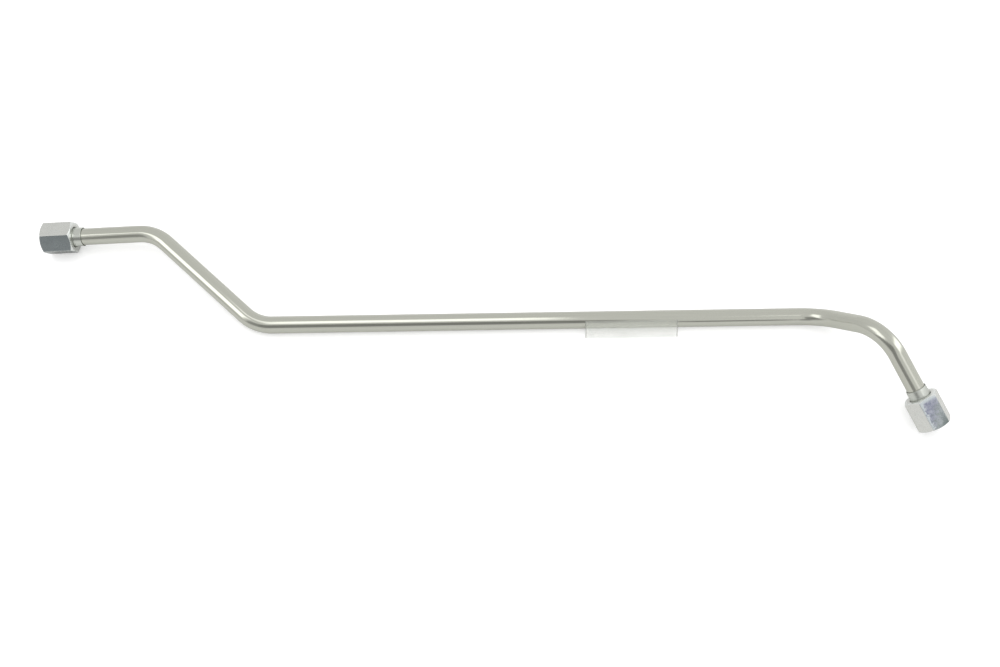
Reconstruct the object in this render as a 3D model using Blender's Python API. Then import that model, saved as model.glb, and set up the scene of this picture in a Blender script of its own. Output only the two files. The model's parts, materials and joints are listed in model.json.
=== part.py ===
"""Bent hydraulic tube: a flared steel tube with a sleeve and a union nut at each end.

The tube lies on the ground as it comes to rest. Its long run follows +X, and a clear film
flag hangs off the front of that run. The origin is the middle of the footprint.
"""
import math

import bmesh
import bpy
from mathutils import Matrix, Vector

# Tube
TUBE_OD = 0.0127
TUBE_WALL = 0.00165
BEND_RADIUS = 0.030
LONG_RUN = 0.4165

# Route corners beside the long run, measured from the corner at its left end: along the
# run, across it and up. Both nuts' front faces and both ends of the run get their height
# from what they rest on.
LEFT_FACE = (-0.1647, 0.0728)
LEFT_CORNER = (-0.0797, 0.0729, 0.0174)
RIGHT_CORNER = (0.0316, -0.0281, 0.0453)
RIGHT_FACE = (0.0695, -0.0876)

# Flared ends
FLARE_ANGLE = math.radians(37)
FLARE_RISE = 0.0019
FLARE_DEPTH = 0.0095

# Sleeves
SLEEVE_WALL = 0.00055
SLEEVE_LIP = 0.0008
SLEEVE_REACH = 0.0065
SLEEVE_BEVEL = 0.00025

# Union nuts
NUT_LENGTH = 0.0235
NUT_WALL = 0.0024
THREAD_CLEARANCE = 0.00045
HEAD_CLEARANCE = 0.0004
REAR_BORE_LENGTH = 0.00585
MOUTH_BEVEL = 0.00095
REAR_BEVEL = 0.0006
FACE_INSET = 0.0003
CHAMFER_ANGLE = math.radians(30)
LEFT_NUT_ROLL = math.radians(9)
RIGHT_NUT_ROLL = math.radians(13)
# The part rests on its long run and its left nut, so the right nut just clears the ground.
RIGHT_NUT_LIFT = 0.0003

# Film flag on the long run
FLAG_START = 0.2432
FLAG_LENGTH = 0.068
FLAG_FALL = 0.012
FILM = 0.0002
FLAG_TOP_ANGLE = math.radians(32)
FLAG_LEAVE_ANGLE = math.radians(42)

# Fits and facets
RUNNING_GAP = 0.0003
TUBE_SIDES = 24
SLEEVE_SIDES = 32
NUT_SIDES = 48
BEND_STEP = math.radians(6)
WRAP_STEPS = 4
SMOOTH_ANGLE = math.radians(28)

# Sizes that follow from the ones above
tube_radius = TUBE_OD / 2
bore_radius = tube_radius - TUBE_WALL
flare_radius = tube_radius + FLARE_RISE
flare_bore_radius = flare_radius - TUBE_WALL / math.cos(FLARE_ANGLE)
sleeve_bore_radius = tube_radius + RUNNING_GAP
barrel_radius = sleeve_bore_radius + SLEEVE_WALL
thread_radius = flare_radius + THREAD_CLEARANCE
head_radius = thread_radius - HEAD_CLEARANCE
rear_bore_radius = barrel_radius + RUNNING_GAP
flat_radius = thread_radius + NUT_WALL
corner_radius = flat_radius / math.cos(math.pi / 6)
face_radius = flat_radius - FACE_INSET


def material(name, colour, metallic, roughness):
    """A plain surface: linear colour, metallic value and roughness."""
    made = bpy.data.materials.new(name)
    made.use_nodes = True
    surface = made.node_tree.nodes["Principled BSDF"]
    surface.inputs["Base Color"].default_value = (*colour, 1)
    surface.inputs["Metallic"].default_value = metallic
    surface.inputs["Roughness"].default_value = roughness
    return made


def object_from(name, bm, surface=None, parent=None):
    """Close off a mesh under construction as a named object, smooth where it is round."""
    bmesh.ops.recalc_face_normals(bm, faces=bm.faces)
    mesh = bpy.data.meshes.new(name)
    bm.to_mesh(mesh)
    bm.free()
    mesh.shade_smooth()
    mesh.set_sharp_from_angle(angle=SMOOTH_ANGLE)
    if surface:
        mesh.materials.append(surface)
    made = bpy.data.objects.new(name, mesh)
    made.parent = parent
    bpy.context.scene.collection.objects.link(made)
    return made


def empty(name, matrix, parent=None):
    """A placing frame for the pieces parented to it."""
    made = bpy.data.objects.new(name, None)
    made.parent = parent
    made.matrix_local = matrix
    bpy.context.scene.collection.objects.link(made)
    return made


def turned(name, profile, sides, surface, parent):
    """A ring-shaped body: a closed profile of (radius, z) points turned about z."""
    bm = bmesh.new()
    corners = [bm.verts.new((radius, 0, z)) for radius, z in profile]
    edges = [bm.edges.new(pair) for pair in zip(corners, corners[1:] + corners[:1])]
    bmesh.ops.spin(bm, geom=corners + edges, axis=(0, 0, 1), cent=(0, 0, 0),
                   steps=sides, angle=math.tau, use_merge=True)
    return object_from(name, bm, surface, parent)


def resting_height(roll, beyond_height, reach):
    """Height of a nut's front centre when its lowest corner touches the ground.

    The nut is turned by roll from lying on a flat, and its axis climbs to beyond_height
    over the horizontal distance reach.
    """
    drop = corner_radius * math.cos(math.pi / 6 - abs(roll))
    tilt = math.atan2(beyond_height - drop, reach)
    corner_depth = (corner_radius - face_radius) * math.tan(CHAMFER_ANGLE)
    return drop * math.cos(tilt) - corner_depth * math.sin(tilt)


def route_corners():
    """Centre-line corners from the left nut's front face to the right nut's."""
    run_start = Vector((0, 0, tube_radius))
    run_end = Vector((LONG_RUN, 0, tube_radius))
    left_corner = Vector(LEFT_CORNER)
    right_corner = Vector(RIGHT_CORNER) + Vector((LONG_RUN, 0, 0))
    left_face = Vector((*LEFT_FACE, 0))
    left_reach = (left_corner.xy - left_face.xy).length
    left_face.z = resting_height(LEFT_NUT_ROLL, left_corner.z, left_reach)
    right_face = Vector((LONG_RUN + RIGHT_FACE[0], RIGHT_FACE[1], 0))
    right_reach = (right_corner.xy - right_face.xy).length
    right_face.z = resting_height(RIGHT_NUT_ROLL, right_corner.z, right_reach)
    right_face.z += RIGHT_NUT_LIFT
    return [left_face, left_corner, run_start, run_end, right_corner, right_face]


def bend_stations(before, corner, after):
    """Points and directions round one bend, between two straight stretches."""
    start_direction = (corner - before).normalized()
    end_direction = (after - corner).normalized()
    angle = start_direction.angle(end_direction)
    inward = (end_direction - start_direction * math.cos(angle)).normalized()
    start = corner - start_direction * BEND_RADIUS * math.tan(angle / 2)
    steps = math.ceil(angle / BEND_STEP)
    stations = []
    for step in range(steps + 1):
        turn = angle * step / steps
        along = start_direction * math.sin(turn) + inward * (1 - math.cos(turn))
        direction = start_direction * math.cos(turn) + inward * math.sin(turn)
        stations.append((start + along * BEND_RADIUS, direction))
    return stations


def end_stations(face, corner, depths):
    """Stations on a straight end, at the given depths behind the nut's front face."""
    direction = (corner - face).normalized()
    return [(face + direction * depth, direction) for depth in depths]


def wall_stations(corners, flare_length):
    """Stations of one wall surface from mouth to mouth, with its flares' root at each end."""
    depths = (FLARE_DEPTH, FLARE_DEPTH + flare_length)
    stations = end_stations(corners[0], corners[1], depths)
    for index in range(1, len(corners) - 1):
        stations += bend_stations(*corners[index - 1:index + 2])
    far_end = end_stations(corners[-1], corners[-2], depths)
    return stations + [(point, -direction) for point, direction in reversed(far_end)]


def section_frames(stations, run_direction):
    """Carry one sideways direction along the stations without twist.

    It is turned so that it points straight up on the run that lies along run_direction,
    which puts a facet's corner, and not its flat, at the lowest line there.
    """
    side = stations[0][1].orthogonal().normalized()
    frames = []
    previous = stations[0][1]
    for point, direction in stations:
        side = previous.rotation_difference(direction) @ side
        frames.append((point, direction, side))
        previous = direction
    on_run = max(frames, key=lambda frame: frame[1].dot(run_direction))
    up = Vector((0, 0, 1))
    twist = math.atan2(on_run[2].cross(up).dot(on_run[1]), on_run[2].dot(up))
    turned_frames = []
    for point, direction, side in frames:
        turned_side = Matrix.Rotation(twist, 3, direction) @ side
        turned_frames.append((point, turned_side, direction.cross(turned_side)))
    return turned_frames


def wall_rings(frames, mouth_radius, run_radius):
    """Rings of points round the frames: wide at both mouths, even in between."""
    rings = []
    last = len(frames) - 1
    for index, (point, side, other) in enumerate(frames):
        radius = mouth_radius if index in (0, last) else run_radius
        turns = [math.tau * corner / TUBE_SIDES for corner in range(TUBE_SIDES)]
        rings.append([point + (side * math.cos(turn) + other * math.sin(turn)) * radius
                      for turn in turns])
    return rings


def bent_tube(corners, surface, parent):
    """The hollow tube: its outer wall, its bore and the flat lips that join them."""
    run_direction = (corners[3] - corners[2]).normalized()
    outer_length = (flare_radius - tube_radius) / math.tan(FLARE_ANGLE)
    bore_length = (flare_bore_radius - bore_radius) / math.tan(FLARE_ANGLE)
    outer_frames = section_frames(wall_stations(corners, outer_length), run_direction)
    bore_frames = section_frames(wall_stations(corners, bore_length), run_direction)
    rings = wall_rings(outer_frames, flare_radius, tube_radius)
    rings += reversed(wall_rings(bore_frames, flare_bore_radius, bore_radius))
    bm = bmesh.new()
    loops = [[bm.verts.new(point) for point in ring] for ring in rings]
    for loop, following in zip(loops, loops[1:] + loops[:1]):
        for corner in range(TUBE_SIDES):
            bm.faces.new((loop[corner - 1], loop[corner], following[corner],
                          following[corner - 1]))
    return object_from("tube", bm, surface, parent)


def sleeve(name, surface, parent):
    """The collar behind the flare: a coned seat, a head, a shoulder and a thin barrel."""
    seat_slope = math.tan(FLARE_ANGLE)
    seat_at_mouth = flare_radius + RUNNING_GAP / math.cos(FLARE_ANGLE)
    front = FLARE_DEPTH + SLEEVE_LIP
    seat_end = FLARE_DEPTH + (seat_at_mouth - sleeve_bore_radius) / seat_slope
    nut_shoulder = NUT_LENGTH - REAR_BORE_LENGTH - (thread_radius - rear_bore_radius)
    shoulder = nut_shoulder + HEAD_CLEARANCE - RUNNING_GAP * math.sqrt(2)
    rear = NUT_LENGTH + SLEEVE_REACH
    profile = [
        (seat_at_mouth - SLEEVE_LIP * seat_slope, front),
        (head_radius, front),
        (head_radius, shoulder),
        (barrel_radius, shoulder + head_radius - barrel_radius),
        (barrel_radius, rear - SLEEVE_BEVEL),
        (barrel_radius - SLEEVE_BEVEL, rear),
        (sleeve_bore_radius, rear),
        (sleeve_bore_radius, seat_end),
    ]
    return turned(name, profile, SLEEVE_SIDES, surface, parent)


def union_nut(name, roll, surface, parent):
    """A turned blank with its stepped bore, cut to a hexagon that leaves chamfered ends."""
    blank_radius = corner_radius + FACE_INSET
    chamfer = (blank_radius - face_radius) * math.tan(CHAMFER_ANGLE)
    shoulder_end = NUT_LENGTH - REAR_BORE_LENGTH
    shoulder_start = shoulder_end - (thread_radius - rear_bore_radius)
    profile = [
        (face_radius, 0),
        (blank_radius, chamfer),
        (blank_radius, NUT_LENGTH - chamfer),
        (face_radius, NUT_LENGTH),
        (rear_bore_radius + REAR_BEVEL, NUT_LENGTH),
        (rear_bore_radius, NUT_LENGTH - REAR_BEVEL),
        (rear_bore_radius, shoulder_end),
        (thread_radius, shoulder_start),
        (thread_radius, MOUTH_BEVEL),
        (thread_radius + MOUTH_BEVEL, 0),
    ]
    nut = turned(name, profile, NUT_SIDES, surface, parent)
    nut.rotation_euler.z = -roll
    hexagon = bmesh.new()
    one_flat_up = (Matrix.Translation((0, 0, NUT_LENGTH / 2))
                   @ Matrix.Rotation(math.pi / 6, 4, "Z"))
    bmesh.ops.create_cone(hexagon, cap_ends=True, segments=6, radius1=corner_radius,
                          radius2=corner_radius, depth=2 * NUT_LENGTH, matrix=one_flat_up)
    cutter = object_from(name + "_hexagon", hexagon, parent=nut)
    cutter.display_type = "WIRE"
    cutter.hide_render = True
    cut = nut.modifiers.new("Hexagon", "BOOLEAN")
    cut.operation = "INTERSECT"
    cut.solver = "EXACT"
    cut.object = cutter
    return nut


def end_frame(name, face, corner, parent):
    """A frame at a nut's front centre: z runs back along the tube, y leans upward."""
    back = (corner - face).normalized()
    side = Vector((0, 0, 1)).cross(back).normalized()
    up = back.cross(side)
    axes = Matrix((side, up, back)).transposed().to_4x4()
    return empty(name, Matrix.Translation(face) @ axes, parent)


def flag_outline(radius, fall):
    """One face of the film, across the run: wrapped on the tube, then straight off it."""
    points = []
    for step in range(WRAP_STEPS + 1):
        share = step / WRAP_STEPS
        angle = FLAG_TOP_ANGLE + (FLAG_LEAVE_ANGLE - FLAG_TOP_ANGLE) * share
        points.append(Vector((0, -math.sin(angle), math.cos(angle))) * radius)
    off = Vector((0, -math.cos(FLAG_LEAVE_ANGLE), -math.sin(FLAG_LEAVE_ANGLE)))
    points.append(points[-1] + off * fall)
    return points


def film_flag(surface, parent):
    """The clear film: its front half wraps the tube and the rest stands off it."""
    under = tube_radius + RUNNING_GAP
    outline = flag_outline(under, FLAG_FALL) + flag_outline(under + FILM, FLAG_FALL)[::-1]
    bm = bmesh.new()
    start = Vector((FLAG_START, 0, tube_radius))
    section = bm.faces.new([bm.verts.new(start + point) for point in outline])
    grown = bmesh.ops.extrude_face_region(bm, geom=[section], use_keep_orig=True)
    moved = [item for item in grown["geom"] if isinstance(item, bmesh.types.BMVert)]
    bmesh.ops.translate(bm, verts=moved, vec=(FLAG_LENGTH, 0, 0))
    return object_from("label_flag", bm, surface, parent)


def centre_on_footprint(root):
    """Move the root so that the ground-level middle of the bounding box is the origin."""
    bpy.context.view_layer.update()
    graph = bpy.context.evaluated_depsgraph_get()
    points = []
    for piece in bpy.data.objects:
        if piece.type == "MESH" and not piece.hide_render:
            shape = piece.evaluated_get(graph)
            points += [shape.matrix_world @ vertex.co for vertex in shape.data.vertices]
    lows = [min(point[axis] for point in points) for axis in range(3)]
    highs = [max(point[axis] for point in points) for axis in range(3)]
    root.location = (-(lows[0] + highs[0]) / 2, -(lows[1] + highs[1]) / 2, -lows[2])
    bpy.context.view_layer.update()


for leftover in list(bpy.data.objects):
    bpy.data.objects.remove(leftover, do_unlink=True)

bright_steel = material("bright_steel", (0.60, 0.59, 0.54), 1.0, 0.16)
white_zinc = material("white_zinc", (0.58, 0.61, 0.60), 1.0, 0.30)
clear_film = material("clear_film", (0.86, 0.87, 0.84), 0.0, 0.20)

route = route_corners()
root = empty("ground_frame", Matrix.Identity(4))
bent_tube(route, bright_steel, root)
film_flag(clear_film, root)
left_end = end_frame("left_end", route[0], route[1], root)
right_end = end_frame("right_end", route[-1], route[-2], root)
for side_name, end, nut_roll in (("left", left_end, LEFT_NUT_ROLL),
                                 ("right", right_end, RIGHT_NUT_ROLL)):
    sleeve(side_name + "_sleeve", white_zinc, end)
    union_nut(side_name + "_nut", nut_roll, white_zinc, end)
centre_on_footprint(root)
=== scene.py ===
"""Looks of a bent hydraulic tube with a union nut at each end, lying on a white table."""
import itertools
import json
import math

import bmesh
import bpy
from mathutils import Matrix, Vector


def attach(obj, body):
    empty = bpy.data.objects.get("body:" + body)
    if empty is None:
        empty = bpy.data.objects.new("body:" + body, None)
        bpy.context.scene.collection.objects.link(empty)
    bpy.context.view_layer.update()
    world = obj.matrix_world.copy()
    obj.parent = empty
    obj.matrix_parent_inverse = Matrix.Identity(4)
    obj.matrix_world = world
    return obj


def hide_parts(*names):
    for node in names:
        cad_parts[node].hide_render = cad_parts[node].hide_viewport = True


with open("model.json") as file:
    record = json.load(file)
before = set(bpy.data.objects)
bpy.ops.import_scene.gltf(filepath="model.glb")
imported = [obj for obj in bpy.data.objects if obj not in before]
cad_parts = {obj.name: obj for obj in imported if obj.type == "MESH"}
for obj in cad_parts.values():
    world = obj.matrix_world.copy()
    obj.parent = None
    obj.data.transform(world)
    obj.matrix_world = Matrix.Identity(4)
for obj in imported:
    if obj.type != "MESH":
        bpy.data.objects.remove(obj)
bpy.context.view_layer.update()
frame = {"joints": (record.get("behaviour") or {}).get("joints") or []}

# Tube: one length of cold drawn steel, bent four times on a mandrel bender. Both mouths are
# flared to 37 degrees, and drawing through the die leaves faint lines along its length.
TUBE_RADIUS = 0.00635
TUBE_WALL = 0.00165
BORE_RADIUS = TUBE_RADIUS - TUBE_WALL
BEND_RADIUS = 0.030
LONG_RUN = 0.4165
LEFT_FACE = (-0.1647, 0.0728)
LEFT_CORNER = (-0.0797, 0.0729, 0.0174)
RIGHT_CORNER = (0.0316, -0.0281, 0.0453)
FLARE_ANGLE = math.radians(37)
FLARE_DEPTH = 0.0095
FLARE_RADIUS = 0.00825
FLARE_BORE_RADIUS = FLARE_RADIUS - TUBE_WALL / math.cos(FLARE_ANGLE)
FLARE_ROOT = 0.0009
FLARE_STEP = 0.00016
FLARE_STEPS = 23
FLARE_END = 0.0042
LIP_ROUND = 0.00028
LIP_STEPS = [0, 0.00001, 0.00004, 0.0001, 0.00018]
BEND_STEP = math.radians(2.5)
STRAIGHT_STEP = 0.012
TUBE_SIDES = 112
WELD_WITHIN = 0.000001


def linear(colour):
    """Linear RGBA of an sRGB hex colour."""
    parts = [int(colour[start:start + 2], 16) / 255 for start in (1, 3, 5)]
    return [part / 12.92 if part <= 0.04045 else ((part + 0.055) / 1.055) ** 2.4
            for part in parts] + [1]


def add(tree, kind, links=None, **settings):
    """A new node in a tree, with its settings, and its inputs set or linked by name or number."""
    node = tree.nodes.new(kind)
    for name, value in settings.items():
        setattr(node, name, value)
    for name, value in (links or {}).items():
        socket = node.inputs[name]
        if isinstance(value, bpy.types.NodeSocket):
            tree.links.new(value, socket)
        else:
            socket.default_value = value
    return node


def new_surface(name):
    """A new material with nothing in its tree yet."""
    made = bpy.data.materials.new(name)
    made.use_nodes = True
    made.node_tree.nodes.clear()
    return made


def node_tree(name, sizes):
    """A Geometry Nodes tree with its geometry in and out, and one input for each size."""
    tree = bpy.data.node_groups.new(name, "GeometryNodeTree")
    tree.interface.new_socket("Geometry", in_out="INPUT", socket_type="NodeSocketGeometry")
    for size, kind in sizes.items():
        tree.interface.new_socket(size, in_out="INPUT", socket_type=kind)
    tree.interface.new_socket("Geometry", in_out="OUTPUT", socket_type="NodeSocketGeometry")
    return tree


def grown(carrier, tree, values):
    """The plain mesh that a Geometry Nodes tree makes of a carrier object."""
    modifier = carrier.modifiers.new(tree.name, "NODES")
    modifier.node_group = tree
    sockets = {item.name: item.identifier for item in tree.interface.items_tree
               if item.in_out == "INPUT"}
    for name, value in values.items():
        modifier[sockets[name]] = value
    bpy.context.view_layer.update()
    graph = bpy.context.evaluated_depsgraph_get()
    mesh = bpy.data.meshes.new_from_object(carrier.evaluated_get(graph))
    carrier.modifiers.remove(modifier)
    return mesh


def mark(mesh, label, values):
    """Store a number for each point of a mesh, for a node tree or a material to read."""
    mesh.attributes.new(label, "FLOAT", "POINT").data.foreach_set("value", values)


def shown(name, mesh):
    """A mesh put in the scene as a piece."""
    made = bpy.data.objects.new(name, mesh)
    bpy.context.scene.collection.objects.link(made)
    return made


def tube_route():
    """Corners of the centre line, from the left nut's front face to the right nut's."""
    turning = {joint["name"]: joint for joint in frame["joints"]}
    left_face = Vector(turning["left_nut_spin"]["pos_m"])
    right_face = Vector(turning["right_nut_spin"]["pos_m"])
    run_start = Vector((left_face.x - LEFT_FACE[0], left_face.y - LEFT_FACE[1], 0))
    run_end = run_start + Vector((LONG_RUN, 0, 0))
    lift = Vector((0, 0, TUBE_RADIUS))
    return [left_face, run_start + Vector(LEFT_CORNER), run_start + lift, run_end + lift,
            run_end + Vector(RIGHT_CORNER), right_face]


def bend_points(before, corner, after):
    """Points round one bend of the centre line."""
    into = (corner - before).normalized()
    out = (after - corner).normalized()
    angle = into.angle(out)
    inward = (out - into * math.cos(angle)).normalized()
    start = corner - into * BEND_RADIUS * math.tan(angle / 2)
    steps = math.ceil(angle / BEND_STEP)
    points = []
    for step in range(steps + 1):
        turn = angle * step / steps
        points.append(start + into * BEND_RADIUS * math.sin(turn)
                      + inward * BEND_RADIUS * (1 - math.cos(turn)))
    return points


def flare_radii(depth):
    """Outer and bore radius of the tube at a depth behind its mouth."""
    if depth >= FLARE_END:
        return TUBE_RADIUS, BORE_RADIUS
    slope = math.tan(FLARE_ANGLE)
    outer = FLARE_RADIUS - depth * slope
    bore = FLARE_BORE_RADIUS - depth * slope
    if depth < LIP_ROUND:
        cut = LIP_ROUND - math.sqrt(LIP_ROUND ** 2 - (LIP_ROUND - depth) ** 2)
        outer -= cut
        bore += cut
    over = [max(outer - TUBE_RADIUS, -FLARE_ROOT), max(bore - BORE_RADIUS, -FLARE_ROOT)]
    eased = [(rise + math.sqrt(rise ** 2 + (FLARE_ROOT / 4) ** 2)) / 2 for rise in over]
    return TUBE_RADIUS + eased[0], BORE_RADIUS + eased[1]


def centre_line(route):
    """Chain of points, each with the tube's two radii there, from mouth to mouth."""
    depths = LIP_STEPS + [LIP_ROUND + FLARE_STEP * step for step in range(FLARE_STEPS + 1)]
    depths.append(FLARE_END)
    middle = (FLARE_RADIUS + FLARE_BORE_RADIUS) / 2
    ends = []
    for face, corner in ((route[0], route[1]), (route[-1], route[-2])):
        back = (corner - face).normalized()
        end = []
        for depth in depths:
            radii = flare_radii(depth) if depth else (middle, middle)
            end.append((face + back * (FLARE_DEPTH + depth), *radii))
        ends.append(end)
    chain = list(ends[0])
    for index in range(1, len(route) - 1):
        bend = bend_points(*route[index - 1:index + 2])
        gap = (bend[0] - chain[-1][0]).length
        pieces = max(1, round(gap / STRAIGHT_STEP))
        start = chain[-1][0]
        for piece in range(1, pieces):
            chain.append((start.lerp(bend[0], piece / pieces), TUBE_RADIUS, BORE_RADIUS))
        chain += [(point, TUBE_RADIUS, BORE_RADIUS) for point in bend]
    return chain + ends[1][::-1]


def sweep_tree():
    """Sweeps a chain of points into a hollow wall: an outer skin and a bore, joined."""
    tree = node_tree("tube_wall", {"Sides": "NodeSocketInt", "Surface": "NodeSocketMaterial"})
    inputs = tree.nodes.new("NodeGroupInput")
    path = add(tree, "GeometryNodeMeshToCurve", {"Mesh": inputs.outputs["Geometry"]})
    ring = add(tree, "GeometryNodeCurvePrimitiveCircle",
               {"Resolution": inputs.outputs["Sides"], "Radius": 1.0})
    place = add(tree, "GeometryNodeInputPosition")
    marked = add(tree, "GeometryNodeStoreNamedAttribute",
                 {"Geometry": ring.outputs["Curve"], "Name": "rim",
                  "Value": place.outputs["Position"]},
                 data_type="FLOAT_VECTOR", domain="POINT")
    skins = []
    for radius in ("outer_radius", "bore_radius"):
        scale = add(tree, "GeometryNodeInputNamedAttribute", {"Name": radius},
                    data_type="FLOAT")
        skins.append(add(tree, "GeometryNodeCurveToMesh",
                         {"Curve": path.outputs["Curve"],
                          "Profile Curve": marked.outputs["Geometry"],
                          "Scale": scale.outputs["Attribute"]}))
    bore = add(tree, "GeometryNodeFlipFaces", {"Mesh": skins[1].outputs["Mesh"]})
    both = add(tree, "GeometryNodeJoinGeometry")
    tree.links.new(skins[0].outputs["Mesh"], both.inputs["Geometry"])
    tree.links.new(bore.outputs["Mesh"], both.inputs["Geometry"])
    closed = add(tree, "GeometryNodeMergeByDistance",
                 {"Geometry": both.outputs["Geometry"], "Distance": WELD_WITHIN})
    smooth = add(tree, "GeometryNodeSetShadeSmooth", {"Geometry": closed.outputs["Geometry"]})
    real = add(tree, "GeometryNodeRealizeInstances", {"Geometry": smooth.outputs["Geometry"]})
    coated = add(tree, "GeometryNodeSetMaterial",
                 {"Geometry": real.outputs["Geometry"],
                  "Material": inputs.outputs["Surface"]})
    outputs = tree.nodes.new("NodeGroupOutput")
    tree.links.new(coated.outputs["Geometry"], outputs.inputs["Geometry"])
    return tree


# Bright drawn steel: nearly a mirror across its length, with a slow change of gloss where the
# bender and the handling have rubbed it, over 20 mm or so. The die's faint lines are half a
# millimetre wide and about 110 mm long. Its finest grain wouldn't show, so it is drawn at 1 mm.
drawn_steel = new_surface("bright_drawn_steel")
tree = drawn_steel.node_tree
rim = add(tree, "ShaderNodeAttribute", attribute_name="rim")
along = add(tree, "ShaderNodeAttribute", attribute_name="along")
round_lines = add(tree, "ShaderNodeVectorMath",
                  {0: rim.outputs["Vector"], 1: (14, 14, 14)}, operation="MULTIPLY")
slow_length = add(tree, "ShaderNodeMath", {0: along.outputs["Fac"], 1: 9.0},
                  operation="MULTIPLY")
lengthwise = add(tree, "ShaderNodeCombineXYZ", {"Z": slow_length.outputs["Value"]})
line_place = add(tree, "ShaderNodeVectorMath",
                 {0: round_lines.outputs["Vector"], 1: lengthwise.outputs["Vector"]},
                 operation="ADD")
die_lines = add(tree, "ShaderNodeTexNoise",
                {"Vector": line_place.outputs["Vector"], "Scale": 1.0, "Detail": 5.0,
                 "Roughness": 0.62})
grain_place = add(tree, "ShaderNodeTexCoord")
rubbed = add(tree, "ShaderNodeTexNoise",
             {"Vector": grain_place.outputs["Object"], "Scale": 55.0, "Detail": 3.0,
              "Roughness": 0.55})
grain = add(tree, "ShaderNodeTexNoise",
            {"Vector": grain_place.outputs["Object"], "Scale": 900.0, "Detail": 2.0,
             "Roughness": 0.5})
gloss = add(tree, "ShaderNodeMapRange",
            {"Value": rubbed.outputs["Fac"], "From Min": 0.3, "From Max": 0.7,
             "To Min": 0.085, "To Max": 0.15})
streaked = add(tree, "ShaderNodeMapRange",
               {"Value": die_lines.outputs["Fac"], "From Min": 0.3, "From Max": 0.7,
                "To Min": -0.02, "To Max": 0.03})
handled = add(tree, "ShaderNodeMapRange",
              {"Value": along.outputs["Fac"], "From Min": 0.55, "From Max": 0.60,
               "To Min": 0.0, "To Max": 0.07})
lined = add(tree, "ShaderNodeMath",
            {0: gloss.outputs["Result"], 1: streaked.outputs["Result"]}, operation="ADD")
roughness = add(tree, "ShaderNodeMath",
                {0: lined.outputs["Value"], 1: handled.outputs["Result"]}, operation="ADD")
toned = add(tree, "ShaderNodeMix",
            {"Factor": die_lines.outputs["Fac"], 6: linear("#B8B9B0"), 7: linear("#C8C9C0")},
            data_type="RGBA")
lines_up = add(tree, "ShaderNodeBump",
               {"Strength": 0.10, "Distance": 0.00012, "Height": die_lines.outputs["Fac"]})
grain_up = add(tree, "ShaderNodeBump",
               {"Strength": 0.05, "Distance": 0.00005, "Height": grain.outputs["Fac"],
                "Normal": lines_up.outputs["Normal"]})
steel = add(tree, "ShaderNodeBsdfPrincipled",
            {"Base Color": toned.outputs[2], "Metallic": 1.0,
             "Roughness": roughness.outputs["Value"], "Normal": grain_up.outputs["Normal"]})
add(tree, "ShaderNodeOutputMaterial", {"Surface": steel.outputs["BSDF"]})

route = tube_route()
chain = centre_line(route)
spine = bpy.data.meshes.new("tube_spine")
spine.from_pydata([link[0] for link in chain], [(at, at + 1) for at in range(len(chain) - 1)],
                  [])
steps = [(link[0] - chain[max(at - 1, 0)][0]).length for at, link in enumerate(chain)]
mark(spine, "outer_radius", [link[1] for link in chain])
mark(spine, "bore_radius", [link[2] for link in chain])
mark(spine, "along", list(itertools.accumulate(steps)))
spine_carrier = shown("tube_spine", spine)
tube_mesh = grown(spine_carrier, sweep_tree(),
                  {"Sides": TUBE_SIDES, "Surface": drawn_steel})
bpy.data.objects.remove(spine_carrier)
tube = shown("drawn_tube", tube_mesh)
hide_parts("tube")
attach(tube, "tube")

# Sleeves: a turned collar behind each flare. Its coned seat grips the flare, its head stops
# inside the nut, and its thin bright barrel shows behind the nut.
RUNNING_GAP = 0.0003
SLEEVE_WALL = 0.00055
SLEEVE_LIP = 0.0008
SLEEVE_REACH = 0.0065
SLEEVE_SIDES = 112
SLEEVE_SHARP = math.radians(28)
SLEEVE_BORE = TUBE_RADIUS + RUNNING_GAP
BARREL_RADIUS = SLEEVE_BORE + SLEEVE_WALL
THREAD_RADIUS = 0.0087
HEAD_CLEARANCE = 0.0004
HEAD_RADIUS = THREAD_RADIUS - HEAD_CLEARANCE
HEAD_BEVEL = 0.00015
REAR_ROUND = 0.00025
REAR_ROUND_STEPS = 6
BORE_BEVEL = 0.00008
NUT_LENGTH = 0.0235
REAR_BORE_RADIUS = BARREL_RADIUS + RUNNING_GAP
REAR_BORE_LENGTH = 0.00585
NUT_SHOULDER = NUT_LENGTH - REAR_BORE_LENGTH - (THREAD_RADIUS - REAR_BORE_RADIUS)
SLEEVE_REAR = NUT_LENGTH + SLEEVE_REACH
DULLED = {"left": 0.0, "right": 0.18}


def end_axes(face, corner):
    """A matrix at a nut's front centre: z runs back along the tube and y leans upward."""
    back = (corner - face).normalized()
    side = Vector((0, 0, 1)).cross(back).normalized()
    axes = Matrix((side, back.cross(side), back)).transposed().to_4x4()
    return Matrix.Translation(face) @ axes


def finished(bm, name):
    """The plain mesh of what has been built up in a bmesh."""
    mesh = bpy.data.meshes.new(name)
    bm.to_mesh(mesh)
    bm.free()
    return mesh


def keep_own_place(mesh):
    """Store each point's place on the piece itself, in millimetres, for its finish."""
    held = mesh.attributes.new("own_place", "FLOAT_VECTOR", "POINT")
    for vertex in mesh.vertices:
        held.data[vertex.index].vector = vertex.co * 1000


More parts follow.
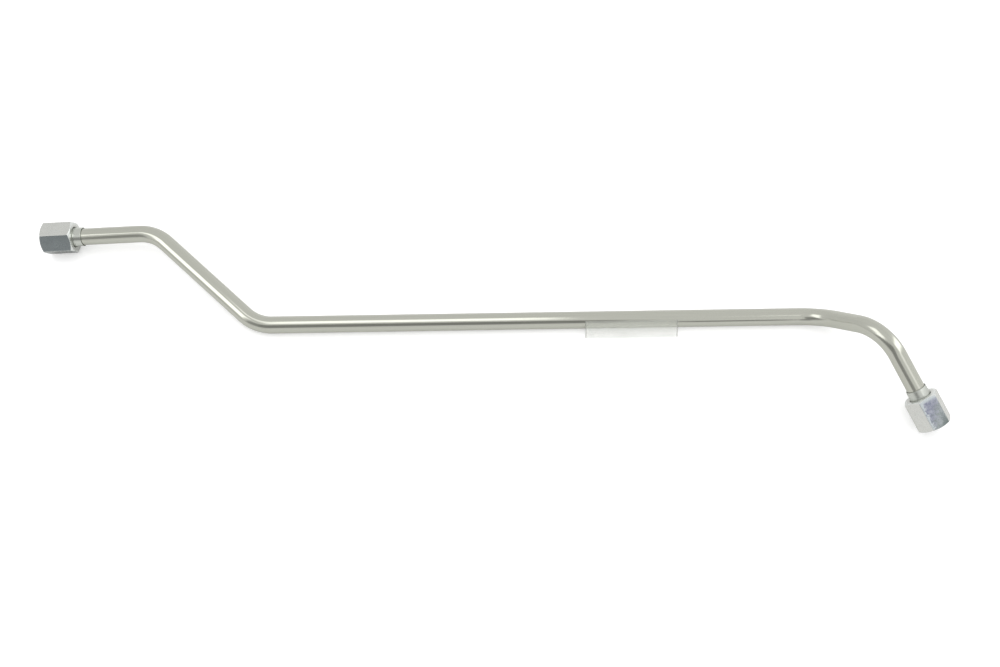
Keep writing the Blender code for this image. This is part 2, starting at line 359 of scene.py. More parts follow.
# Bright zinc on a turned collar: the cutting tool's rings, a quarter of a millimetre apart,
# show as fine bands round it. The right collar came out duller than the left one.
turned_zinc = new_surface("bright_zinc_turned")
tree = turned_zinc.node_tree
own = add(tree, "ShaderNodeAttribute", attribute_name="own_place")
parts = add(tree, "ShaderNodeSeparateXYZ", {"Vector": own.outputs["Vector"]})
ring_place = add(tree, "ShaderNodeCombineXYZ", {"Z": parts.outputs["Z"]})
rings = add(tree, "ShaderNodeTexNoise",
            {"Vector": ring_place.outputs["Vector"], "Scale": 4.0, "Detail": 4.0,
             "Roughness": 0.6})
spots = add(tree, "ShaderNodeTexNoise",
            {"Vector": own.outputs["Vector"], "Scale": 0.9, "Detail": 3.0})
dull = add(tree, "ShaderNodeAttribute", attribute_name="dulled")
polished = add(tree, "ShaderNodeMapRange",
               {"Value": spots.outputs["Fac"], "From Min": 0.3, "From Max": 0.7,
                "To Min": 0.09, "To Max": 0.15})
ring_gloss = add(tree, "ShaderNodeMath",
                 {0: polished.outputs["Result"], 1: dull.outputs["Fac"]}, operation="ADD")
ring_tone = add(tree, "ShaderNodeMix",
                {"Factor": rings.outputs["Fac"], 6: linear("#BDC0BA"), 7: linear("#CDD0CB")},
                data_type="RGBA")
rings_up = add(tree, "ShaderNodeBump",
               {"Strength": 0.09, "Distance": 0.00008, "Height": rings.outputs["Fac"]})
zinc = add(tree, "ShaderNodeBsdfPrincipled",
           {"Base Color": ring_tone.outputs[2], "Metallic": 1.0,
            "Roughness": ring_gloss.outputs["Value"], "Normal": rings_up.outputs["Normal"]})
add(tree, "ShaderNodeOutputMaterial", {"Surface": zinc.outputs["BSDF"]})

slope = math.tan(FLARE_ANGLE)
seat_at_mouth = FLARE_RADIUS + RUNNING_GAP / math.cos(FLARE_ANGLE)
sleeve_front = FLARE_DEPTH + SLEEVE_LIP
sleeve_shoulder = NUT_SHOULDER + HEAD_CLEARANCE - RUNNING_GAP * math.sqrt(2)
sleeve_outline = [
    (seat_at_mouth - SLEEVE_LIP * slope, sleeve_front),
    (HEAD_RADIUS - HEAD_BEVEL, sleeve_front),
    (HEAD_RADIUS, sleeve_front + HEAD_BEVEL),
    (HEAD_RADIUS, sleeve_shoulder),
    (BARREL_RADIUS, sleeve_shoulder + HEAD_RADIUS - BARREL_RADIUS),
]
for step in range(REAR_ROUND_STEPS + 1):
    turn = math.pi / 2 * step / REAR_ROUND_STEPS
    sleeve_outline.append((BARREL_RADIUS - REAR_ROUND * (1 - math.cos(turn)),
                           SLEEVE_REAR - REAR_ROUND * (1 - math.sin(turn))))
sleeve_outline += [
    (SLEEVE_BORE + BORE_BEVEL, SLEEVE_REAR),
    (SLEEVE_BORE, SLEEVE_REAR - BORE_BEVEL),
    (SLEEVE_BORE, FLARE_DEPTH + (seat_at_mouth - SLEEVE_BORE) / slope),
]

ends = {"left": end_axes(route[0], route[1]), "right": end_axes(route[-1], route[-2])}
for side_name, place in ends.items():
    bm = bmesh.new()
    corners = [bm.verts.new((radius, 0, depth)) for radius, depth in sleeve_outline]
    edges = [bm.edges.new(pair) for pair in zip(corners, corners[1:] + corners[:1])]
    bmesh.ops.spin(bm, geom=corners + edges, axis=(0, 0, 1), cent=(0, 0, 0),
                   steps=SLEEVE_SIDES, angle=math.tau, use_merge=True)
    bmesh.ops.recalc_face_normals(bm, faces=bm.faces)
    mesh = finished(bm, side_name + "_collar")
    mesh.shade_smooth()
    mesh.set_sharp_from_angle(angle=SLEEVE_SHARP)
    mesh.materials.append(turned_zinc)
    keep_own_place(mesh)
    mark(mesh, "dulled", [DULLED[side_name]] * len(mesh.vertices))
    mesh.transform(place)
    collar = shown(side_name + "_collar", mesh)
    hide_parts(side_name + "_sleeve")
    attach(collar, side_name + "_sleeve")

# Union nuts: drawn hexagon bar, turned to a chamfer of 30 degrees at both ends and threaded
# inside, then plated with white zinc. Some flats are drawn darker than the rest: painted shade on
# the left nut, a film of passivate on the right one.
FLAT_RADIUS = 0.0111
FACE_RADIUS = 0.0108
CORNER_RADIUS = 0.01282
SKIN_MARGIN = 0.0001
CHAMFER_SLOPE = math.tan(math.radians(30))
CHAMFER_DEPTH = (CORNER_RADIUS - FACE_RADIUS) * CHAMFER_SLOPE + SKIN_MARGIN
CHAMFER_ROWS = 18
BAR_ROWS = 8
STEPS_PER_FLAT = 32
CORNER_CROWDING = 0.605
HEX_SHARPNESS = 70
RIM_SHARPNESS = 100
NUT_SHARP = math.radians(24)
REAR_BEVEL = 0.0006
MOUTH_RADIUS = THREAD_RADIUS + 0.001
MOUTH_BEVEL = 0.00022
GROOVE_RADIUS = 0.00948
THREAD_START = 0.0013
THREAD_END = 0.0138
THREAD_PITCH = 0.0015875
THREAD_TURNS = 7.6
NUT_ROLLS = {"left": math.radians(9), "right": math.radians(13)}

# Each nut's darker flats with how dark they are drawn, painted shade on the left nut and a film
# of passivate on the right, and how blue it is
FILM_AND_PAINTED_SHADE = {"left": {1: 1.0, 2: 0.8}, "right": {0: 1.0}}
BLUENESS = {"left": 0.0, "right": 1.0}
# Reach and fade of the darker flats round the nut (painted shade on the left nut)
DARK_FLAT_EDGE = math.radians(31)
DARK_FLAT_FADE = math.radians(2.5)
# How sharply the chamfers' painted highlight starts where the bar ends
CHAMFER_CLEARNESS = 120


def hexagon_radius(angle):
    """Radius of the hexagon bar at an angle, with its corners just rounded."""
    total = 0
    for flat in range(6):
        facing = math.cos(angle - flat * math.pi / 3)
        if facing > 0:
            total += facing ** HEX_SHARPNESS
    return FLAT_RADIUS / total ** (1 / HEX_SHARPNESS)


def turned_radius(angle, depth):
    """Radius of the nut's outside: the bar, or the chamfer where that lies lower."""
    cone = FACE_RADIUS + min(depth, NUT_LENGTH - depth) / CHAMFER_SLOPE
    bar = hexagon_radius(angle)
    mixed = (bar / cone) ** RIM_SHARPNESS
    return bar * (1 + mixed) ** (-1 / RIM_SHARPNESS)


def nut_angles():
    """Angles round the nut, closer together at its six corners."""
    shares = []
    for step in range(STEPS_PER_FLAT):
        even = step / STEPS_PER_FLAT
        shares.append(even + CORNER_CROWDING * math.sin(math.tau * even) / math.tau)
    return [math.pi / 3 * (flat + share) for flat in range(6) for share in shares]


def nut_mesh(name):
    """The nut's closed skin, with its front centre at the origin and its first flat at 0."""
    angles = nut_angles()
    rows = [CHAMFER_DEPTH * step / CHAMFER_ROWS for step in range(CHAMFER_ROWS + 1)]
    bar_length = NUT_LENGTH - 2 * CHAMFER_DEPTH
    middles = [CHAMFER_DEPTH + bar_length * step / BAR_ROWS for step in range(1, BAR_ROWS)]
    outside = rows + middles + [NUT_LENGTH - row for row in reversed(rows)]
    inside = [
        (REAR_BORE_RADIUS + REAR_BEVEL, NUT_LENGTH),
        (REAR_BORE_RADIUS, NUT_LENGTH - REAR_BEVEL),
        (REAR_BORE_RADIUS, NUT_LENGTH - REAR_BORE_LENGTH),
        (THREAD_RADIUS, NUT_SHOULDER),
        (THREAD_RADIUS, THREAD_END + GROOVE_RADIUS - THREAD_RADIUS),
        (GROOVE_RADIUS, THREAD_END),
        (GROOVE_RADIUS, MOUTH_BEVEL),
        (MOUTH_RADIUS, 0),
    ]
    bm = bmesh.new()
    loops = []
    for depth in outside:
        radii = [turned_radius(angle, depth) for angle in angles]
        loops.append([bm.verts.new((radius * math.cos(angle), radius * math.sin(angle), depth))
                      for radius, angle in zip(radii, angles)])
    for radius, depth in inside:
        loops.append([bm.verts.new((radius * math.cos(angle), radius * math.sin(angle), depth))
                      for angle in angles])
    for loop, following in zip(loops, loops[1:] + loops[:1]):
        for at in range(len(angles)):
            bm.faces.new((loop[at - 1], loop[at], following[at], following[at - 1]))
    bmesh.ops.recalc_face_normals(bm, faces=bm.faces)
    mesh = finished(bm, name)
    mesh.shade_smooth()
    mesh.set_sharp_from_angle(angle=NUT_SHARP)
    return mesh


def thread_tree():
    """Adds the thread to a nut: one ridge wound inside its bore, its ends faded out."""
    tree = node_tree("nut_thread", {
        "Pitch": "NodeSocketFloat", "Turns": "NodeSocketFloat", "Start": "NodeSocketFloat",
        "Radius": "NodeSocketFloat", "Height": "NodeSocketFloat",
        "Surface": "NodeSocketMaterial"})
    inputs = tree.nodes.new("NodeGroupInput")
    rise = add(tree, "ShaderNodeMath",
               {0: inputs.outputs["Pitch"], 1: inputs.outputs["Turns"]}, operation="MULTIPLY")
    helix = add(tree, "GeometryNodeCurveSpiral",
                {"Resolution": 72, "Rotations": inputs.outputs["Turns"],
                 "Start Radius": inputs.outputs["Radius"],
                 "End Radius": inputs.outputs["Radius"], "Height": rise.outputs["Value"]})
    lift = add(tree, "ShaderNodeCombineXYZ", {"Z": inputs.outputs["Start"]})
    placed = add(tree, "GeometryNodeTransform",
                 {"Geometry": helix.outputs["Curve"], "Translation": lift.outputs["Vector"]})
    standing = add(tree, "GeometryNodeSetCurveNormal", {"Curve": placed.outputs["Geometry"]},
                   mode="Z_UP")
    share = add(tree, "GeometryNodeSplineParameter")
    fade_in = add(tree, "ShaderNodeMapRange",
                  {"Value": share.outputs["Factor"], "From Min": 0.0, "From Max": 0.05,
                   "To Min": 0.05, "To Max": 1.0})
    fade_out = add(tree, "ShaderNodeMapRange",
                   {"Value": share.outputs["Factor"], "From Min": 1.0, "From Max": 0.95,
                    "To Min": 0.05, "To Max": 1.0})
    fade = add(tree, "ShaderNodeMath",
               {0: fade_in.outputs["Result"], 1: fade_out.outputs["Result"]},
               operation="MINIMUM")
    size = add(tree, "ShaderNodeMath",
               {0: fade.outputs["Value"], 1: inputs.outputs["Height"]}, operation="MULTIPLY")
    ridge = add(tree, "GeometryNodeCurvePrimitiveCircle", {"Resolution": 6, "Radius": 1.0})
    wound = add(tree, "GeometryNodeCurveToMesh",
                {"Curve": standing.outputs["Curve"], "Profile Curve": ridge.outputs["Curve"],
                 "Scale": size.outputs["Value"], "Fill Caps": True})
    place = add(tree, "GeometryNodeInputPosition")
    in_mm = add(tree, "ShaderNodeVectorMath",
                {0: place.outputs["Position"], "Scale": 1000.0}, operation="SCALE")
    marked = add(tree, "GeometryNodeStoreNamedAttribute",
                 {"Geometry": wound.outputs["Mesh"], "Name": "own_place",
                  "Value": in_mm.outputs["Vector"]}, data_type="FLOAT_VECTOR", domain="POINT")
    both = add(tree, "GeometryNodeJoinGeometry")
    tree.links.new(marked.outputs["Geometry"], both.inputs["Geometry"])
    tree.links.new(inputs.outputs["Geometry"], both.inputs["Geometry"])
    real = add(tree, "GeometryNodeRealizeInstances", {"Geometry": both.outputs["Geometry"]})
    coated = add(tree, "GeometryNodeSetMaterial",
                 {"Geometry": real.outputs["Geometry"],
                  "Material": inputs.outputs["Surface"]})
    outputs = tree.nodes.new("NodeGroupOutput")
    tree.links.new(coated.outputs["Geometry"], outputs.inputs["Geometry"])
    return tree


# White zinc plate: satin and a little greenish, clouded by the bath over 5 mm or so, with
# lines 0.2 mm wide along the bar's flats. The darker flats are blotched over 2 or 3 mm. On the
# left nut they are plain grey painted shade on its front and lower flats. On the right one they
# hold a thicker film of passivate, violet towards the rear left and steel grey ahead of that;
# that flat is drawn darkest at the front right, paler along the rear, and paler along its left
# corner, which is a painted highlight. The chamfers are drawn lighter as a painted highlight.
white_zinc = new_surface("white_zinc_plate")
tree = white_zinc.node_tree
own = add(tree, "ShaderNodeAttribute", attribute_name="own_place")
shade = add(tree, "ShaderNodeAttribute", attribute_name="film_and_painted_shade")
blue = add(tree, "ShaderNodeAttribute", attribute_name="blueness")
clouds = add(tree, "ShaderNodeTexNoise",
             {"Vector": own.outputs["Vector"], "Scale": 0.22, "Detail": 3.0,
              "Roughness": 0.5})
blotches = add(tree, "ShaderNodeTexNoise",
               {"Vector": own.outputs["Vector"], "Scale": 0.42, "Detail": 4.0,
                "Roughness": 0.62, "Distortion": 0.4})
bar_place = add(tree, "ShaderNodeVectorMath",
                {0: own.outputs["Vector"], 1: (5.0, 5.0, 0.25)}, operation="MULTIPLY")
bar_lines = add(tree, "ShaderNodeTexNoise",
                {"Vector": bar_place.outputs["Vector"], "Scale": 1.0, "Detail": 4.0,
                 "Roughness": 0.55})
plate = add(tree, "ShaderNodeMix",
            {"Factor": clouds.outputs["Fac"], 6: linear("#CCCDCA"), 7: linear("#DADBD8")},
            data_type="RGBA")
# Painted shade: the plain grey of the left nut's darker flats
painted_shade_grey = add(tree, "ShaderNodeMix",
                {"Factor": clouds.outputs["Fac"], 6: linear("#7F8588"), 7: linear("#939A9C")},
                data_type="RGBA")
patchy = add(tree, "ShaderNodeMapRange",
             {"Value": blotches.outputs["Fac"], "From Min": 0.36, "From Max": 0.64,
              "To Min": 0.0, "To Max": 1.0})
violet = add(tree, "ShaderNodeMix",
             {"Factor": patchy.outputs["Result"], 6: linear("#7F8294"), 7: linear("#A6A9B5")},
             data_type="RGBA")
steely = add(tree, "ShaderNodeMix",
             {"Factor": patchy.outputs["Result"], 6: linear("#868D8F"), 7: linear("#A3A9AB")},
             data_type="RGBA")
uneven = add(tree, "ShaderNodeMath", {0: blotches.outputs["Fac"], 1: 2.4},
             operation="MULTIPLY")
backward = add(tree, "ShaderNodeVectorMath",
               {0: own.outputs["Vector"], 1: (0.0, -0.10, 0.07)}, operation="DOT_PRODUCT")
rear_left = add(tree, "ShaderNodeMath",
                {0: backward.outputs["Value"], 1: uneven.outputs["Value"]}, operation="ADD")
violet_share = add(tree, "ShaderNodeMapRange",
                   {"Value": rear_left.outputs["Value"], "From Min": 1.6, "From Max": 2.2,
                    "To Min": 0.0, "To Max": 1.0})
tinted = add(tree, "ShaderNodeMix",
             {"Factor": violet_share.outputs["Result"], 6: steely.outputs[2],
              7: violet.outputs[2]}, data_type="RGBA")
forward = add(tree, "ShaderNodeVectorMath",
              {0: own.outputs["Vector"], 1: (0.0, 0.12, -0.09)}, operation="DOT_PRODUCT")
front_right = add(tree, "ShaderNodeMapRange",
                  {"Value": forward.outputs["Value"], "From Min": -0.15, "From Max": 0.45,
                   "To Min": 0.0, "To Max": 0.8})
darkened = add(tree, "ShaderNodeMix",
               {"Factor": front_right.outputs["Result"], 6: tinted.outputs[2],
                7: linear("#6C7573")}, data_type="RGBA")
parts = add(tree, "ShaderNodeSeparateXYZ", {"Vector": own.outputs["Vector"]})
# Paler along the rear, and a painted highlight along the left corner of the right nut's dark flat
rear_edge = add(tree, "ShaderNodeMapRange",
                {"Value": parts.outputs["Z"], "From Min": 20.3, "From Max": 22.0,
                 "To Min": 0.0, "To Max": 0.85})
ragged = add(tree, "ShaderNodeMath", {0: blotches.outputs["Fac"], 1: 7.0},
             operation="MULTIPLY")
inward = add(tree, "ShaderNodeMath", {0: ragged.outputs["Value"], 1: parts.outputs["Y"]},
             operation="SUBTRACT")
painted_left_highlight = add(tree, "ShaderNodeMapRange",
                {"Value": inward.outputs["Value"], "From Min": 7.6, "From Max": 8.4,
                 "To Min": 0.0, "To Max": 0.85})
pale_edges = add(tree, "ShaderNodeMath",
           {0: rear_edge.outputs["Result"], 1: painted_left_highlight.outputs["Result"]},
           operation="MAXIMUM")
blue_film_and_pale_edges = add(tree, "ShaderNodeMix",
                {"Factor": pale_edges.outputs["Value"], 6: darkened.outputs[2],
                 7: linear("#C4CBCD")}, data_type="RGBA")
# Tone of the darker flats: painted grey shade on the left nut, passivate on the right
dark_flat_tone = add(tree, "ShaderNodeMix",
           {"Factor": blue.outputs["Fac"], 6: painted_shade_grey.outputs[2], 7: blue_film_and_pale_edges.outputs[2]},
           data_type="RGBA")
flats_darkened = add(tree, "ShaderNodeMix",
              {"Factor": shade.outputs["Fac"], 6: plate.outputs[2], 7: dark_flat_tone.outputs[2]},
              data_type="RGBA")
# Painted highlight: the chamfers drawn lighter than the flats
chamfer_highlight = add(tree, "ShaderNodeAttribute", attribute_name="turned")
finish = add(tree, "ShaderNodeMix",
             {"Factor": chamfer_highlight.outputs["Fac"], 6: flats_darkened.outputs[2],
              7: linear("#E6E9E8")}, data_type="RGBA")
satin = add(tree, "ShaderNodeMapRange",
            {"Value": blotches.outputs["Fac"], "From Min": 0.3, "From Max": 0.7,
             "To Min": 0.22, "To Max": 0.33})
lines_up = add(tree, "ShaderNodeBump",
               {"Strength": 0.05, "Distance": 0.00008, "Height": bar_lines.outputs["Fac"]})
clouds_up = add(tree, "ShaderNodeBump",
                {"Strength": 0.04, "Distance": 0.0003, "Height": blotches.outputs["Fac"],
                 "Normal": lines_up.outputs["Normal"]})
plated = add(tree, "ShaderNodeBsdfPrincipled",
             {"Base Color": finish.outputs[2], "Metallic": 1.0,
              "Roughness": satin.outputs["Result"], "Normal": clouds_up.outputs["Normal"]})
add(tree, "ShaderNodeOutputMaterial", {"Surface": plated.outputs["BSDF"]})


def dark_share_at(angle, side_name):
    """Darkening at an angle round a nut: painted shade on the left nut, passivate on the right.
    """
    share = 0
    for flat, thickness in FILM_AND_PAINTED_SHADE[side_name].items():
        from_flat = abs(math.remainder(angle - flat * math.pi / 3, math.tau))
        within = min(max((DARK_FLAT_EDGE - from_flat) / DARK_FLAT_FADE, 0), 1)
        share = max(share, within * thickness)
    return share


thread = thread_tree()
for side_name, place in ends.items():
    blank = shown(side_name + "_blank", nut_mesh(side_name + "_blank"))
    keep_own_place(blank.data)
    mesh = grown(blank, thread, {
        "Pitch": THREAD_PITCH, "Turns": THREAD_TURNS, "Start": THREAD_START,
        "Radius": GROOVE_RADIUS, "Height": GROOVE_RADIUS - THREAD_RADIUS,
        "Surface": white_zinc})
    bpy.data.objects.remove(blank)
    dark_shares = []
    chamfers = []
    # Darker flats: painted shade on the left nut, a film of passivate on the right. Chamfers: a
    # painted highlight.
    for vertex in mesh.vertices:
        angle = math.atan2(vertex.co.y, vertex.co.x)
        radius = math.hypot(vertex.co.x, vertex.co.y)
        cut = min((1 - radius / hexagon_radius(angle)) * CHAMFER_CLEARNESS, 1)
        dark_shares.append(dark_share_at(angle, side_name) if radius > FACE_RADIUS + SKIN_MARGIN else 0)
        chamfers.append(cut if radius > FACE_RADIUS - SKIN_MARGIN else 0)
    mark(mesh, "film_and_painted_shade", dark_shares)
    mark(mesh, "blueness", [BLUENESS[side_name]] * len(mesh.vertices))
    mark(mesh, "turned", chamfers)
    mesh.transform(place @ Matrix.Rotation(math.pi / 2 - NUT_ROLLS[side_name], 4, "Z"))
    nut = shown(side_name + "_union_nut", mesh)
    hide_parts(side_name + "_nut")
    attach(nut, side_name + "_nut")

# Flag: a strip of clear polypropylene film, stuck along the front of the long run and
# standing off it. It is bare, and its free edge has taken a slight curl.
FLAG_START = 0.2432
FLAG_LENGTH = 0.068
FLAG_FALL = 0.012
FILM = 0.0002
FLAG_TOP = math.radians(32)
FLAG_LEAVE = math.radians(42)
FLAG_CURL = 0.0007
CURL_WAVES = 0.8
# Widths over which the painted shade of each cut end fades in
CUT_EDGE = (0.0011, 0.0005)
COLUMNS = 40
LANES = 24


def film_point(share_along, share_across):
    """A point on the film's under side, by its shares along the run and across it."""
    under = TUBE_RADIUS + RUNNING_GAP
    stuck = under * (FLAG_LEAVE - FLAG_TOP)
    across = share_across * (stuck + FLAG_FALL)
    x = FLAG_START + FLAG_LENGTH * share_along
    if across < stuck:
        angle = FLAG_TOP + across / under
        return Vector((x, -under * math.sin(angle), under * math.cos(angle)))
    off = across - stuck
    wave = math.cos(math.tau * CURL_WAVES * share_along)
    curl = FLAG_CURL * (off / FLAG_FALL) ** 2 * wave
    angle = FLAG_LEAVE
    return Vector((x, -under * math.sin(angle) - off * math.cos(angle) + curl * math.sin(angle),
                   under * math.cos(angle) - off * math.sin(angle) - curl * math.cos(angle)))


# Clear polypropylene: about four fifths of the light passes and the rest makes it milky. It is
# drawn out into faint waves, 17 mm long and 4 mm across, and dark lines of painted shade mark
# its two cut ends.
clear_film = new_surface("clear_film")
tree = clear_film.node_tree
film_place = add(tree, "ShaderNodeTexCoord")
drawn_out = add(tree, "ShaderNodeVectorMath",
                {0: film_place.outputs["Object"], 1: (60, 260, 260)}, operation="MULTIPLY")
waves = add(tree, "ShaderNodeTexNoise",
            {"Vector": drawn_out.outputs["Vector"], "Scale": 1.0, "Detail": 2.0})
film_waves = add(tree, "ShaderNodeBump",
                 {"Strength": 0.15, "Distance": 0.0004, "Height": waves.outputs["Fac"]})
milk = add(tree, "ShaderNodeMapRange",
           {"Value": waves.outputs["Fac"], "From Min": 0.3, "From Max": 0.7,
            "To Min": 0.17, "To Max": 0.23})
film_at = add(tree, "ShaderNodeSeparateXYZ", {"Vector": film_place.outputs["Object"]})
off_middle = add(tree, "ShaderNodeMath",
                 {0: film_at.outputs["X"],
                  1: route[2].x + FLAG_START + FLAG_LENGTH / 2}, operation="SUBTRACT")
from_middle = add(tree, "ShaderNodeMath", {0: off_middle.outputs["Value"]},
                  operation="ABSOLUTE")
# Painted shade: dark lines along the film's two cut ends
painted_edge_shade = add(tree, "ShaderNodeMapRange",
              {"Value": from_middle.outputs["Value"],
               "From Min": FLAG_LENGTH / 2 - CUT_EDGE[0],
               "From Max": FLAG_LENGTH / 2 - CUT_EDGE[1], "To Min": 0.0, "To Max": 0.5})
alpha = add(tree, "ShaderNodeMath",
            {0: milk.outputs["Result"], 1: painted_edge_shade.outputs["Result"]}, operation="MAXIMUM")
film_tone = add(tree, "ShaderNodeMix",
                {"Factor": painted_edge_shade.outputs["Result"], 6: linear("#D6D9D1"),
                 7: linear("#7E827C")}, data_type="RGBA")
sheet = add(tree, "ShaderNodeBsdfPrincipled",
            {"Base Color": film_tone.outputs[2], "Roughness": 0.22, "IOR": 1.49,
             "Alpha": alpha.outputs["Value"], "Normal": film_waves.outputs["Normal"]})
add(tree, "ShaderNodeOutputMaterial", {"Surface": sheet.outputs["BSDF"]})

bm = bmesh.new()
run_start = route[2]
grid = [[bm.verts.new(run_start + film_point(column / COLUMNS, lane / LANES))
         for lane in range(LANES + 1)] for column in range(COLUMNS + 1)]
for column in range(COLUMNS):
    for lane in range(LANES):
        bm.faces.new((grid[column][lane], grid[column + 1][lane],
                      grid[column + 1][lane + 1], grid[column][lane + 1]))
bmesh.ops.recalc_face_normals(bm, faces=bm.faces)
mesh = finished(bm, "film_flag")
if mesh.polygons[len(mesh.polygons) // 2].normal.z < 0:
    mesh.flip_normals()
mesh.shade_smooth()
mesh.materials.append(clear_film)
flag = shown("film_flag", mesh)
thick = flag.modifiers.new("Film thickness", "SOLIDIFY")
thick.thickness = FILM
thick.offset = 1
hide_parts("label_flag")
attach(flag, "tube")

# Table: a matt white sheet. It keeps the shadow, and metal and film see it a little greyer
# than the camera does.
TABLE_HALF = 4
TABLE_DROP = 0.00005
TABLE_GLOW = 0.28
bm = bmesh.new()
bmesh.ops.create_grid(bm, x_segments=1, y_segments=1, size=TABLE_HALF)
mesh = finished(bm, "table")
mesh.transform(Matrix.Translation((0, 0, -TABLE_DROP)))
table_top = new_surface("matt_white_paper")
tree = table_top.node_tree
rays = add(tree, "ShaderNodeLightPath")
reflected = add(tree, "ShaderNodeMath",
                {0: rays.outputs["Is Glossy Ray"], 1: rays.outputs["Is Transmission Ray"]},
                operation="MAXIMUM")
paper = add(tree, "ShaderNodeBsdfDiffuse", {"Color": linear("#F9F9F9")})
glow = add(tree, "ShaderNodeEmission", {"Color": (1, 1, 1, 1), "Strength": TABLE_GLOW})
bright = add(tree, "ShaderNodeAddShader", {0: paper.outputs["BSDF"], 1: glow.outputs["Emission"]})
dim_paper = add(tree, "ShaderNodeBsdfDiffuse", {"Color": linear("#EAEAE8")})
pick = add(tree, "ShaderNodeMixShader",
           {"Fac": reflected.outputs["Value"], 1: bright.outputs["Shader"],
            2: dim_paper.outputs["BSDF"]})
add(tree, "ShaderNodeOutputMaterial", {"Surface": pick.outputs["Shader"]})
mesh.materials.append(table_top)
shown("table", mesh)

# Room: white all round, with a light box at each side and one in front, which draw the bright
# lines along the metal. Angles are degrees from straight up, to +X and to +Y.
WALL_LEVEL = 0.88
WALL_SLOPE = 0.001
DIFFUSE_LEVEL = 0.92
WARM_WHITE = (1, 1, 0.985, 1)
LIGHT_BOXES = [
    # middle, turn, half length and half width, softness, strength
    ((-42.5, -14.7), 38, (18.5, 8), 3, 1.35),
    ((47, 13), 50.6, (38, 11), 4, 1.3),
    ((30, -30), 32, (10, 6), 5, 0.5),
]
room = bpy.data.worlds.new("studio")
bpy.context.scene.world = room
room.use_nodes = True
tree = room.node_tree
tree.nodes.clear()
toward = add(tree, "ShaderNodeTexCoord")
split = add(tree, "ShaderNodeSeparateXYZ", {"Vector": toward.outputs["Generated"]})


def maths(operation, first, second=0.0):
    """Result of one sum or other operation on two sockets or numbers."""
    return add(tree, "ShaderNodeMath", {0: first, 1: second},
               operation=operation).outputs["Value"]


def step_up(value, start, end):
    """0 before a start, 1 after an end, and smooth in between."""
    return add(tree, "ShaderNodeMapRange",
               {"Value": value, "From Min": start, "From Max": end},
               interpolation_type="SMOOTHSTEP").outputs["Result"]


def band(value, low, high, soft):
    """1 where a value lies between two limits, fading to 0 over a soft edge."""
    return maths("MULTIPLY", step_up(value, low - soft, low + soft),
                 step_up(value, high + soft, high - soft))


# Just over 1, so that straight up divides by a little more than nothing
JUST_OVER_ONE = 1.0001
from_top = maths("ARCCOSINE", split.outputs["Z"])
upright = maths("MULTIPLY", split.outputs["Z"], split.outputs["Z"])
level_out = maths("SQRT", maths("SUBTRACT", JUST_OVER_ONE, upright))
spread = maths("MULTIPLY", maths("DIVIDE", from_top, level_out), math.degrees(1))
to_right = maths("MULTIPLY", split.outputs["X"], spread)
to_back = maths("MULTIPLY", split.outputs["Y"], spread)
level = maths("ADD", WALL_LEVEL, maths("MULTIPLY", to_right, WALL_SLOPE))
for middle, turn, half, soft, strength in LIGHT_BOXES:
    right_by = maths("SUBTRACT", to_right, middle[0])
    back_by = maths("SUBTRACT", to_back, middle[1])
    cosine = math.cos(math.radians(turn))
    sine = math.sin(math.radians(turn))
    lengthwise = maths("ADD", maths("MULTIPLY", right_by, cosine),
                       maths("MULTIPLY", back_by, sine))
    crosswise = maths("SUBTRACT", maths("MULTIPLY", back_by, cosine),
                      maths("MULTIPLY", right_by, sine))
    shape = maths("MULTIPLY", band(lengthwise, -half[0], half[0], soft),
                  band(crosswise, -half[1], half[1], soft))
    level = maths("ADD", level, maths("MULTIPLY", shape, strength))
seen = add(tree, "ShaderNodeLightPath")
by_metal = add(tree, "ShaderNodeBackground", {"Color": WARM_WHITE, "Strength": level})
by_others = add(tree, "ShaderNodeBackground",
                {"Color": (1, 1, 1, 1), "Strength": DIFFUSE_LEVEL})
by_camera = add(tree, "ShaderNodeBackground", {"Color": (1, 1, 1, 1), "Strength": 1.0})
first = add(tree, "ShaderNodeMixShader",
            {"Fac": seen.outputs["Is Glossy Ray"], 1: by_others.outputs["Background"],
             2: by_metal.outputs["Background"]})
straight = add(tree, "ShaderNodeMath",
               {0: seen.outputs["Is Camera Ray"], 1: seen.outputs["Is Transmission Ray"]},
               operation="MAXIMUM")
choice = add(tree, "ShaderNodeMixShader",
             {"Fac": straight.outputs["Value"], 1: first.outputs["Shader"],
              2: by_camera.outputs["Background"]})
add(tree, "ShaderNodeOutputWorld", {"Surface": choice.outputs["Shader"]})

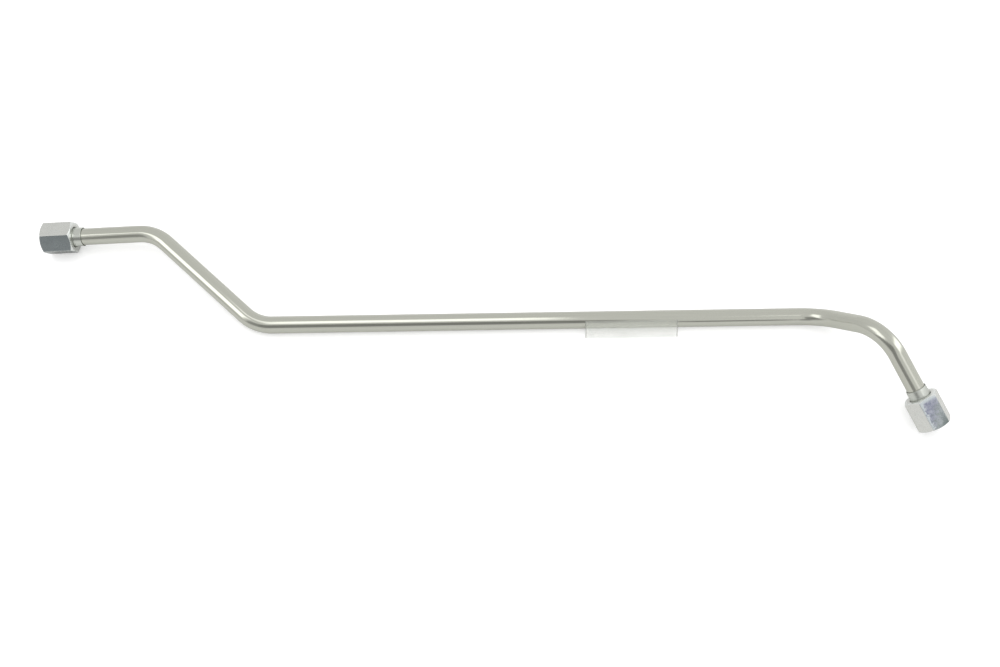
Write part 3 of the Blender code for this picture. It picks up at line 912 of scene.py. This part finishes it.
# Cards: a bright one overhead and dark ones in front of the table, seen in reflections only.
# They draw the bright line along the run, the dark one beside it and the one at the right end.
run_foot = Vector((run_start.x, run_start.y, 0))
CARDS = {
    # lowest and highest corner from the run's start, softness of the edges, and brightness
    "bright_card": ((-0.090, -0.100, 0.430), (0.243, 0.125, 0.430), 0.030, 2.03),
    "dark_card_far": ((-0.250, -0.420, 0.190), (0.350, -0.420, 0.750), 0.05, 0.33),
    "dark_card_left": ((-0.520, -0.421, 0.190), (-0.150, -0.421, 0.750), 0.05, 0.40),
    "dark_card_near": ((0.340, -0.190, 0.054), (0.445, -0.190, 0.116), 0.012, 0.36),
}
for card_name, (low, high, soft, brightness) in CARDS.items():
    spans = [axis for axis in range(3) if high[axis] > low[axis]]
    low = Vector(low) + run_foot
    high = Vector(high) + run_foot
    corners = []
    for ways in ((-1, -1), (1, -1), (1, 1), (-1, 1)):
        corner = low.copy()
        for axis, way in zip(spans, ways):
            corner[axis] = high[axis] + soft if way > 0 else low[axis] - soft
        corners.append(corner)
    mesh = bpy.data.meshes.new(card_name)
    mesh.from_pydata(corners, [], [(0, 1, 2, 3)])
    surface = new_surface(card_name)
    tree = surface.node_tree
    where = add(tree, "ShaderNodeTexCoord")
    place = add(tree, "ShaderNodeSeparateXYZ", {"Vector": where.outputs["Object"]})
    covers = [band(place.outputs["XYZ"[axis]], low[axis], high[axis], soft) for axis in spans]
    card = add(tree, "ShaderNodeEmission", {"Color": WARM_WHITE, "Strength": brightness})
    clear = add(tree, "ShaderNodeBsdfTransparent")
    mixed = add(tree, "ShaderNodeMixShader",
                {"Fac": maths("MULTIPLY", *covers), 1: clear.outputs["BSDF"],
                 2: card.outputs["Emission"]})
    add(tree, "ShaderNodeOutputMaterial", {"Surface": mixed.outputs["Shader"]})
    mesh.materials.append(surface)
    card_object = shown(card_name, mesh)
    for ray in ("camera", "diffuse", "transmission", "shadow"):
        setattr(card_object, "visible_" + ray, False)

# Key light: a very wide lamp overhead, so that only what touches the table has a shadow.
KEY_STRENGTH = 0.7
KEY_WIDTH = math.radians(70)
KEY_FROM = Vector((0, 0.15, 1))
key = bpy.data.lights.new("key_light", "SUN")
key.energy = KEY_STRENGTH
key.angle = KEY_WIDTH
key_light = bpy.data.objects.new("key_light", key)
bpy.context.scene.collection.objects.link(key_light)
key_light.rotation_euler = KEY_FROM.to_track_quat("Z", "Y").to_euler()
key_light.visible_glossy = False

# Camera: above the front of the run, looking down at 66 degrees. Its place is measured from
# the run's start, and its focal length is a share of its sensor's width.
CAMERA_PLACE = Vector((0.1803, -0.3463, 0.7620))
LOOK_DOWN = math.radians(66)
ROLL = math.radians(0.91)
SENSOR_WIDTH = 36
FOCAL_SHARE = 1.123
lens = bpy.data.cameras.new("camera")
lens.sensor_width = SENSOR_WIDTH
lens.lens = SENSOR_WIDTH * FOCAL_SHARE
camera = bpy.data.objects.new("camera", lens)
bpy.context.scene.collection.objects.link(camera)
ahead = Vector((0, math.cos(LOOK_DOWN), -math.sin(LOOK_DOWN)))
level_up = Vector((0, math.sin(LOOK_DOWN), math.cos(LOOK_DOWN)))
right_hand = Vector((math.cos(ROLL), 0, 0)) - level_up * math.sin(ROLL)
head_up = level_up * math.cos(ROLL) + Vector((math.sin(ROLL), 0, 0))
view = Matrix((right_hand, head_up, -ahead)).transposed().to_4x4()
view.translation = CAMERA_PLACE + run_foot
camera.matrix_world = view
bpy.context.scene.camera = camera
bpy.context.scene.view_settings.view_transform = "Standard"
